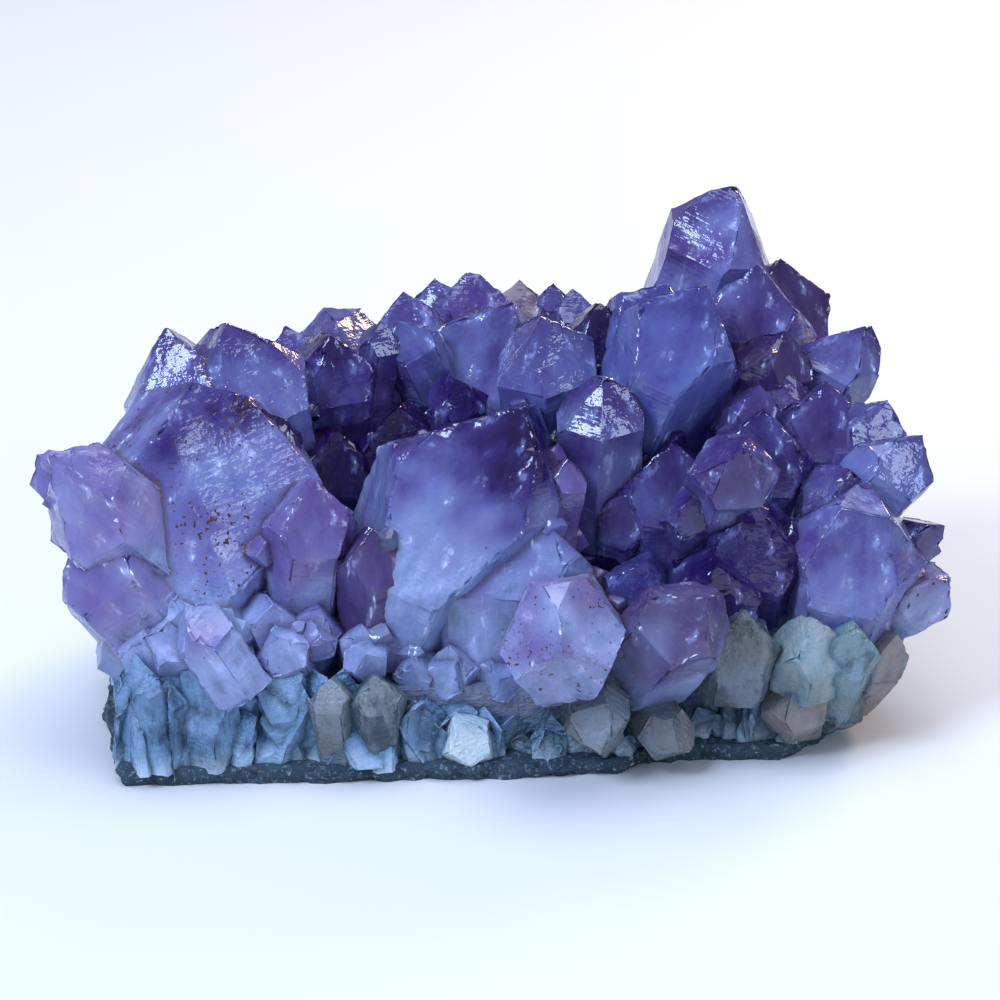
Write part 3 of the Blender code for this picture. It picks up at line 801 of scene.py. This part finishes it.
def quartz(colours):
    """Colourless quartz as it grew: glassy and greenish grey, in places milky, smoky or white, with painted shade in
    clefts.
    """
    material, tree, output = blank("colourless quartz, natural growth faces")
    place = add(tree, "ShaderNodeVectorMath", {
        0: add(tree, "ShaderNodeTexCoord").outputs["Object"], 1: (1000, 1000, 1000)}, operation="MULTIPLY").outputs[0]
    grown = add(tree, "ShaderNodeAttribute", attribute_name="grown").outputs["Vector"]
    violet = add(tree, "ShaderNodeAttribute", attribute_name="violet").outputs["Vector"]
    tone = add(tree, "ShaderNodeAttribute", attribute_name="tone").outputs["Vector"]
    chance = add(tree, "ShaderNodeAttribute", attribute_name="chance").outputs["Vector"]
    tone = add(tree, "ShaderNodeSeparateXYZ", {0: tone})
    height = add(tree, "ShaderNodeSeparateXYZ", {0: place}).outputs[2]
    milky = add(tree, "ShaderNodeSeparateXYZ", {0: violet}).outputs[2]
    chance = add(tree, "ShaderNodeSeparateXYZ", {0: chance}).outputs[0]

    cloud = add(tree, "ShaderNodeTexNoise", {"Vector": place, "Scale": .16, "Detail": 2, "Roughness": .6}).outputs[0]
    long = add(tree, "ShaderNodeVectorMath", {0: grown, 1: (1, 1, .3)}, operation="MULTIPLY").outputs[0]
    veil = add(tree, "ShaderNodeTexNoise", {
        "Vector": long, "Scale": .7, "Detail": 3, "Roughness": .65}).outputs[0]
    mixed = add(tree, "ShaderNodeMath", {0: cloud, 1: .75, 2: .1}, operation="MULTIPLY_ADD").outputs[0]
    mixed = add(tree, "ShaderNodeMath", {0: chance, 1: .4, 2: mixed}, operation="MULTIPLY_ADD").outputs[0]
    mixed = add(tree, "ShaderNodeMath", {0: veil, 1: .42, 2: mixed}, operation="MULTIPLY_ADD").outputs[0]
    east = add(tree, "ShaderNodeSeparateXYZ", {0: place}).outputs[0]
    mixed = add(tree, "ShaderNodeMath", {0: east, 1: .0012, 2: mixed}, operation="MULTIPLY_ADD").outputs[0]
    pale = add(tree, "ShaderNodeMapRange", {
        "Value": mixed, "From Min": .6, "From Max": 1.22, "To Min": 0, "To Max": 1},
        interpolation_type="SMOOTHSTEP").outputs[0]
    ramp = add(tree, "ShaderNodeValToRGB", {0: pale})
    shades = (colours.shadow, colours.glass, colours.glass, colours.frosted)
    stops = (0, .3, .6, 1)
    while len(ramp.color_ramp.elements) < len(stops):
        ramp.color_ramp.elements.new(.5)
    for element, stop, shade in zip(ramp.color_ramp.elements, stops, shades):
        element.position = stop
        element.color = (*shade, 1)
    colour = ramp.outputs[0]
    # Beige stains, and a greyer right end
    stain = add(tree, "ShaderNodeTexNoise", {"Vector": place, "Scale": .09, "Detail": 2}).outputs[0]
    stain = add(tree, "ShaderNodeMath", {0: east, 1: .0035, 2: stain}, operation="MULTIPLY_ADD").outputs[0]
    stain = add(tree, "ShaderNodeMapRange", {
        "Value": stain, "From Min": .36, "From Max": .74, "To Min": 0, "To Max": .85},
        interpolation_type="SMOOTHSTEP").outputs[0]
    colour = add(tree, "ShaderNodeMix", {
        0: stain, 6: colour, 7: (*colours.stain, 1)}, data_type="RGBA", blend_type="MULTIPLY").outputs[2]
    for share, tint in zip(tone.outputs, (colours.rose, colours.blue, colours.brown)):
        colour = add(tree, "ShaderNodeMix", {0: share, 6: colour, 7: (*tint, 1)},
                     data_type="RGBA", blend_type="MULTIPLY").outputs[2]
    above = add(tree, "ShaderNodeMath", {0: height, 1: milky}, operation="SUBTRACT").outputs[0]
    milk = add(tree, "ShaderNodeMapRange", {
        "Value": above, "From Min": -6, "From Max": 0, "To Min": .7, "To Max": 0}).outputs[0]
    colour = add(tree, "ShaderNodeMix", {0: milk, 6: colour, 7: (*colours.white, 1)}, data_type="RGBA").outputs[2]

    skin = add(tree, "ShaderNodeAttribute", attribute_name="skin").outputs["Vector"]
    seam = add(tree, "ShaderNodeSeparateXYZ", {0: skin}).outputs[2]
    # Painted shade: close to the clefts between the columns the quartz turns to its darkest colour
    near = add(tree, "ShaderNodeMapRange", {
        "Value": seam, "From Min": .9, "From Max": .0, "To Min": 0, "To Max": .75}).outputs[0]
    colour = add(tree, "ShaderNodeMix", {0: near, 6: colour, 7: (*colours.shadow, 1)}, data_type="RGBA").outputs[2]
    lines = add(tree, "ShaderNodeVectorMath", {0: grown, 1: (.15, .15, 2.4)}, operation="MULTIPLY").outputs[0]
    lines = add(tree, "ShaderNodeTexNoise", {"Vector": lines, "Scale": 1, "Detail": 1}).outputs[0]
    pits = add(tree, "ShaderNodeTexNoise", {"Vector": place, "Scale": 1.3, "Detail": 3, "Roughness": .65}).outputs[0]
    relief = add(tree, "ShaderNodeMath", {0: lines, 1: .4, 2: pits}, operation="MULTIPLY_ADD").outputs[0]
    bump = add(tree, "ShaderNodeBump", {"Height": relief, "Strength": .8, "Distance": .0006}).outputs[0]
    rough = add(tree, "ShaderNodeMapRange", {"Value": mixed, "From Min": .6, "From Max": 1.3, "To Min": .03,
                                             "To Max": .28}).outputs[0]
    clear = add(tree, "ShaderNodeMapRange", {"Value": mixed, "From Min": .65, "From Max": 1.25, "To Min": .5,
                                             "To Max": .2}).outputs[0]
    clear = add(tree, "ShaderNodeMath", {0: clear, 1: milk}, operation="SUBTRACT", use_clamp=True).outputs[0]
    shader = add(tree, "ShaderNodeBsdfPrincipled", {
        "Base Color": colour, "Roughness": rough, "Normal": bump, "Transmission Weight": clear, "IOR": 1.544})
    tree.links.new(shader.outputs[0], output.inputs["Surface"])
    murk = add(tree, "ShaderNodeVolumeAbsorption", {"Color": tuple(colours.water), "Density": 60})
    tree.links.new(murk.outputs[0], output.inputs["Volume"])
    return material


def basalt(colours):
    """Broken basalt: matt, dark green-blue rock with white specks of quartz 0.3 to 1 mm across."""
    material, tree, output = blank("basalt, broken")
    place = add(tree, "ShaderNodeVectorMath", {
        0: add(tree, "ShaderNodeTexCoord").outputs["Object"], 1: (1000, 1000, 1000)}, operation="MULTIPLY").outputs[0]
    patches = add(tree, "ShaderNodeTexNoise", {"Vector": place, "Scale": .3, "Detail": 5, "Roughness": .6}).outputs[0]
    grain = add(tree, "ShaderNodeTexNoise", {"Vector": place, "Scale": 1.4, "Detail": 4, "Roughness": .7}).outputs[0]
    colour = add(tree, "ShaderNodeMix", {
        0: patches, 6: (*colours.rock, 1), 7: (*colours.rock_light, 1)}, data_type="RGBA").outputs[2]
    speck = add(tree, "ShaderNodeMapRange", {"Value": grain, "From Min": .55, "From Max": .75, "To Min": 0, "To Max": .5}).outputs[0]
    colour = add(tree, "ShaderNodeMix", {0: speck, 6: colour, 7: (*colours.white, 1)}, data_type="RGBA").outputs[2]
    bump = add(tree, "ShaderNodeBump", {"Height": grain, "Strength": .9, "Distance": .0005}).outputs[0]
    rough = add(tree, "ShaderNodeMapRange", {"Value": grain, "To Min": .95, "To Max": .45}).outputs[0]
    shader = add(tree, "ShaderNodeBsdfPrincipled", {"Base Color": colour, "Roughness": rough, "Normal": bump})
    tree.links.new(shader.outputs[0], output.inputs["Surface"])
    return material


def card(colours):
    """Matt white card, for the floor."""
    material, tree, output = blank("white card, matt")
    shader = add(tree, "ShaderNodeBsdfPrincipled", {
        "Base Color": tuple(colours.floor), "Roughness": .9, "Specular IOR Level": .2})
    tree.links.new(shader.outputs[0], output.inputs["Surface"])
    return material


def shade(name, note, code):
    """A colour property from an sRGB hex value."""
    return FloatVectorProperty(name=name, description=note, subtype="COLOR", size=3, min=0, max=1, default=linear(code))


class ClusterSizes(bpy.types.PropertyGroup):
    """Sizes of the natural detail."""
    edge: FloatProperty(name="Edge", description="Width of the worn edges", unit="LENGTH", default=.0005)
    relief: FloatProperty(name="Relief", description="Depth of the growth relief", unit="LENGTH", default=.00022)
    facet: FloatProperty(name="Facets", description="Width of the low facets on each face", unit="LENGTH", default=.005)
    chips: FloatProperty(name="Chips", description="Depth of the chips along edges", unit="LENGTH", default=.0009)
    mesh: FloatProperty(name="Net", description="Spacing of the net on the front crystals", unit="LENGTH", default=.0011)
    fill: IntProperty(name="Filling", description="Number of small crystals in the clefts", default=110, min=0)


class ClusterColours(bpy.types.PropertyGroup):
    """Colours of the stone and the floor."""
    pale: shade("Pale", "Faintly coloured quartz", "#ADBBE8")
    lavender: shade("Lavender", "Lightly coloured body", "#7F89C5")
    violet: shade("Violet", "Body of most crystals", "#5B579B")
    deep: shade("Deep violet", "Tips", "#3A2A76")
    ink: shade("Ink", "Darkest tips", "#220F4E")
    rose: shade("Rose", "Tint of the rosy crystals", "#FFB4DC")
    blue: shade("Blue", "Tint of the bluish crystals", "#96B4FF")
    brown: shade("Brown", "Tint of the stained crystals", "#D2A078")
    milk: shade("Milk", "Milky roots", "#A2B3DA")
    murk: shade("Murk", "Greyer parts of the milky roots", "#66769E")
    # Painted glint: the silvery flash of cracks close to the face, painted as colour
    painted_glint: shade("Flash", "Cracks close to the face", "#DCF2FF")
    # Stains along the clefts, used also as painted shade there
    cleft_stain_and_shade: shade("Grime", "Stains along the clefts", "#5A4650")
    rust: shade("Rust", "Specks of rust and dust", "#3A2018")
    depth: shade("Depth", "Light that gets through the violet", "#A08ED0")
    # Darkest quartz of the band, used also as painted shade in the clefts between the columns
    shadow: shade("Shadow", "Darkest quartz of the band", "#4A768F")
    stain: shade("Stain", "Tint of the stained quartz", "#DACBB8")
    glass: shade("Glass", "Colourless quartz", "#A0CAE0")
    frosted: shade("Frosted", "Frosted quartz", "#BCD6E6")
    white: shade("White", "White quartz", "#E0EAEE")
    water: shade("Water", "Light that gets through the quartz", "#7FA8C8")
    rock: shade("Rock", "Basalt", "#0C1E2C")
    rock_light: shade("Rock, weathered", "Weathered basalt", "#3A5568")
    floor: shade("Floor", "White card", "#D4D6D8")


class CLUSTER_OT_stage(bpy.types.Operator):
    """Set up the floor, the camera and the soft light"""
    bl_idname = "cluster.stage"
    bl_label = "Stage"

    def execute(self, context):
        scene = context.scene
        scene.view_settings.view_transform = "Standard"
        bm = bmesh.new()
        bmesh.ops.create_grid(bm, x_segments=8, y_segments=8, size=3000)
        floor = keep(bm, "floor", scene.collection)
        floor.data.materials.append(card(scene.cluster_colours))

        target = Vector((0, 0, .0315))
        camera = bpy.data.objects.new("camera", bpy.data.cameras.new("camera"))
        scene.collection.objects.link(camera)
        up = math.radians(22)
        camera.location = target + Vector((0, -math.cos(up), math.sin(up))) * .6
        camera.rotation_euler = (target - camera.location).to_track_quat("-Z", "Y").to_euler()
        camera.data.lens = 144
        camera.data.sensor_width = 36
        camera.data.clip_start = .01
        scene.camera = camera

        # Name, place in metres, width, power in watts and colour
        lamps = (
            ("window", (-.45, -.38, .62), .30, 6.0, "#C8DCFF"),
            ("overhead", (.05, .15, .95), .8, 7.0, "#EEF4FF"),
            ("side_window", (.66, -.42, .36), .26, 1.6, "#CFE0FF"),
            ("warm_back", (.42, .5, .34), .2, 2.6, "#FFDDB8"),
        )
        for name, spot, width, power, code in lamps:
            lamp = bpy.data.objects.new(name, bpy.data.lights.new(name, "AREA"))
            lamp.data.size = width
            lamp.data.energy = power
            lamp.data.color = linear(code)
            lamp.location = spot
            lamp.rotation_euler = (target - Vector(spot)).to_track_quat("-Z", "Y").to_euler()
            scene.collection.objects.link(lamp)
        world = bpy.data.worlds.new("room")
        world.use_nodes = True
        world.node_tree.nodes["Background"].inputs[0].default_value = (*linear("#C8D2E6"), 1)
        world.node_tree.nodes["Background"].inputs[1].default_value = .55
        scene.world = world
        return {"FINISHED"}


class CLUSTER_OT_rind(bpy.types.Operator):
    """Break the thin plate of basalt that the cluster stands on"""
    bl_idname = "cluster.rind"
    bl_label = "Basalt rind"

    def execute(self, context):
        draw = random.Random(SEED + 2)
        bm = slab(0, 0, RIND_TOP)
        rim = [e for e in bm.edges if abs(e.verts[0].co.z - e.verts[1].co.z) < .01]
        bmesh.ops.subdivide_edges(bm, edges=rim, cuts=3, use_grid_fill=True)
        posts = [e for e in bm.edges if abs(e.verts[0].co.z - e.verts[1].co.z) > .01]
        bmesh.ops.subdivide_edges(bm, edges=posts, cuts=1)
        middle = Vector((-3, 3, 0))
        for vert in bm.verts:
            out = (vert.co - middle).to_2d().normalized()
            shift = draw.uniform(-.9, .3) + (.5 if .1 < vert.co.z < RIND_TOP - .1 else 0)
            vert.co += Vector((out.x * shift, out.y * shift, 0))
        walls = {e for f in bm.faces if len(f.verts) < 8 for e in f.edges}
        bmesh.ops.subdivide_edges(bm, edges=list(walls), cuts=5, use_grid_fill=True)
        bm.normal_update()
        for vert in bm.verts:
            out = (vert.co - middle).to_2d().normalized()
            depth = .9 * max(0, noise.noise(vert.co * .5) + .35) + .5 * max(0, noise.noise(vert.co * 1.7))
            sink = .5 * abs(noise.noise(vert.co * .9)) if vert.co.z > RIND_TOP - .05 else 0
            vert.co -= Vector((out.x * depth, out.y * depth, sink))
        bmesh.ops.triangulate(bm, faces=bm.faces[:])
        rind = keep(bm, "rind", context.scene.collection)
        finish(rind, basalt(context.scene.cluster_colours), "basalt_rind")
        return {"FINISHED"}


class CLUSTER_OT_crust(bpy.types.Operator):
    """Grow the band of colourless quartz"""
    bl_idname = "cluster.crust"
    bl_label = "Quartz band"

    def execute(self, context):
        sizes = context.scene.cluster_sizes
        floor = RIND_TOP - .5
        crust = keep(slab(CRUST_INSET, floor, CRUST_TOP), "crust", context.scene.collection)
        rows = []
        # One row of columns is joined at a time, which is far quicker than all of them at once
        for batch in [list(BLOCKS)] + columns():
            fine = 1.1 if batch[0]["look"] in ("smoky", "quartz") else 0
            crowd(crust, batch, 1 + len(rows), sizes, lambda row: fine, floor)
            rows += batch
        describe(crust, rows)
        finish(crust, quartz(context.scene.cluster_colours), "quartz_crust")
        print("crust", len(crust.data.polygons), "faces")
        return {"FINISHED"}


class CLUSTER_OT_points(bpy.types.Operator):
    """Grow the violet crystals"""
    bl_idname = "cluster.points"
    bl_label = "Violet points"

    def execute(self, context):
        sizes = context.scene.cluster_sizes
        rows = list(POINTS) + hidden_points()
        points = keep(slab(CORE_INSET, CORE_BOTTOM, CORE_TOP), "points", context.scene.collection)
        fine, coarse = sizes.mesh / MM, 2 * sizes.mesh / MM
        for row in rows:
            if row["tip"][1] < 8:
                row["length"] += DEEPER
        crowd(points, rows, 1, sizes, lambda row: coarse if row["name"].startswith("hidden") else fine, CORE_BOTTOM)
        roots = lobes()
        crowd(points, roots, 1 + len(rows), sizes, lambda row: 1.3 if row["tip"][1] < 0 else coarse, CORE_BOTTOM)
        rows += roots
        small = clefts(points, rows, 1 + len(rows), sizes.fill, 16, 46, 3, 2.2)
        crowd(points, small, 1 + len(rows), sizes, lambda row: 0, CORE_BOTTOM)
        rows += small
        describe(points, rows)
        finish(points, amethyst(context.scene.cluster_colours), "amethyst_points")
        print("points", len(points.data.polygons), "faces")
        return {"FINISHED"}


class CLUSTER_PT_panel(bpy.types.Panel):
    """Sizes, colours and steps of the cluster"""
    bl_idname = "CLUSTER_PT_panel"
    bl_label = "Amethyst cluster"
    bl_space_type = "VIEW_3D"
    bl_region_type = "UI"
    bl_category = "Amethyst"

    def draw(self, context):
        for group in (context.scene.cluster_sizes, context.scene.cluster_colours):
            for name in group.__annotations__:
                self.layout.prop(group, name)
        for step in STEPS:
            self.layout.operator(step.bl_idname)


STEPS = (CLUSTER_OT_stage, CLUSTER_OT_rind, CLUSTER_OT_crust, CLUSTER_OT_points)
CLASSES = (ClusterSizes, ClusterColours, *STEPS, CLUSTER_PT_panel)


def register():
    for made in CLASSES:
        bpy.utils.register_class(made)
    bpy.types.Scene.cluster_sizes = PointerProperty(type=ClusterSizes)
    bpy.types.Scene.cluster_colours = PointerProperty(type=ClusterColours)


def unregister():
    del bpy.types.Scene.cluster_colours
    del bpy.types.Scene.cluster_sizes
    for made in reversed(CLASSES):
        bpy.utils.unregister_class(made)


def main():
    register()
    bpy.ops.cluster.stage()
    bpy.ops.cluster.rind()
    bpy.ops.cluster.crust()
    bpy.ops.cluster.points()


if __name__ == "__main__":
    main()
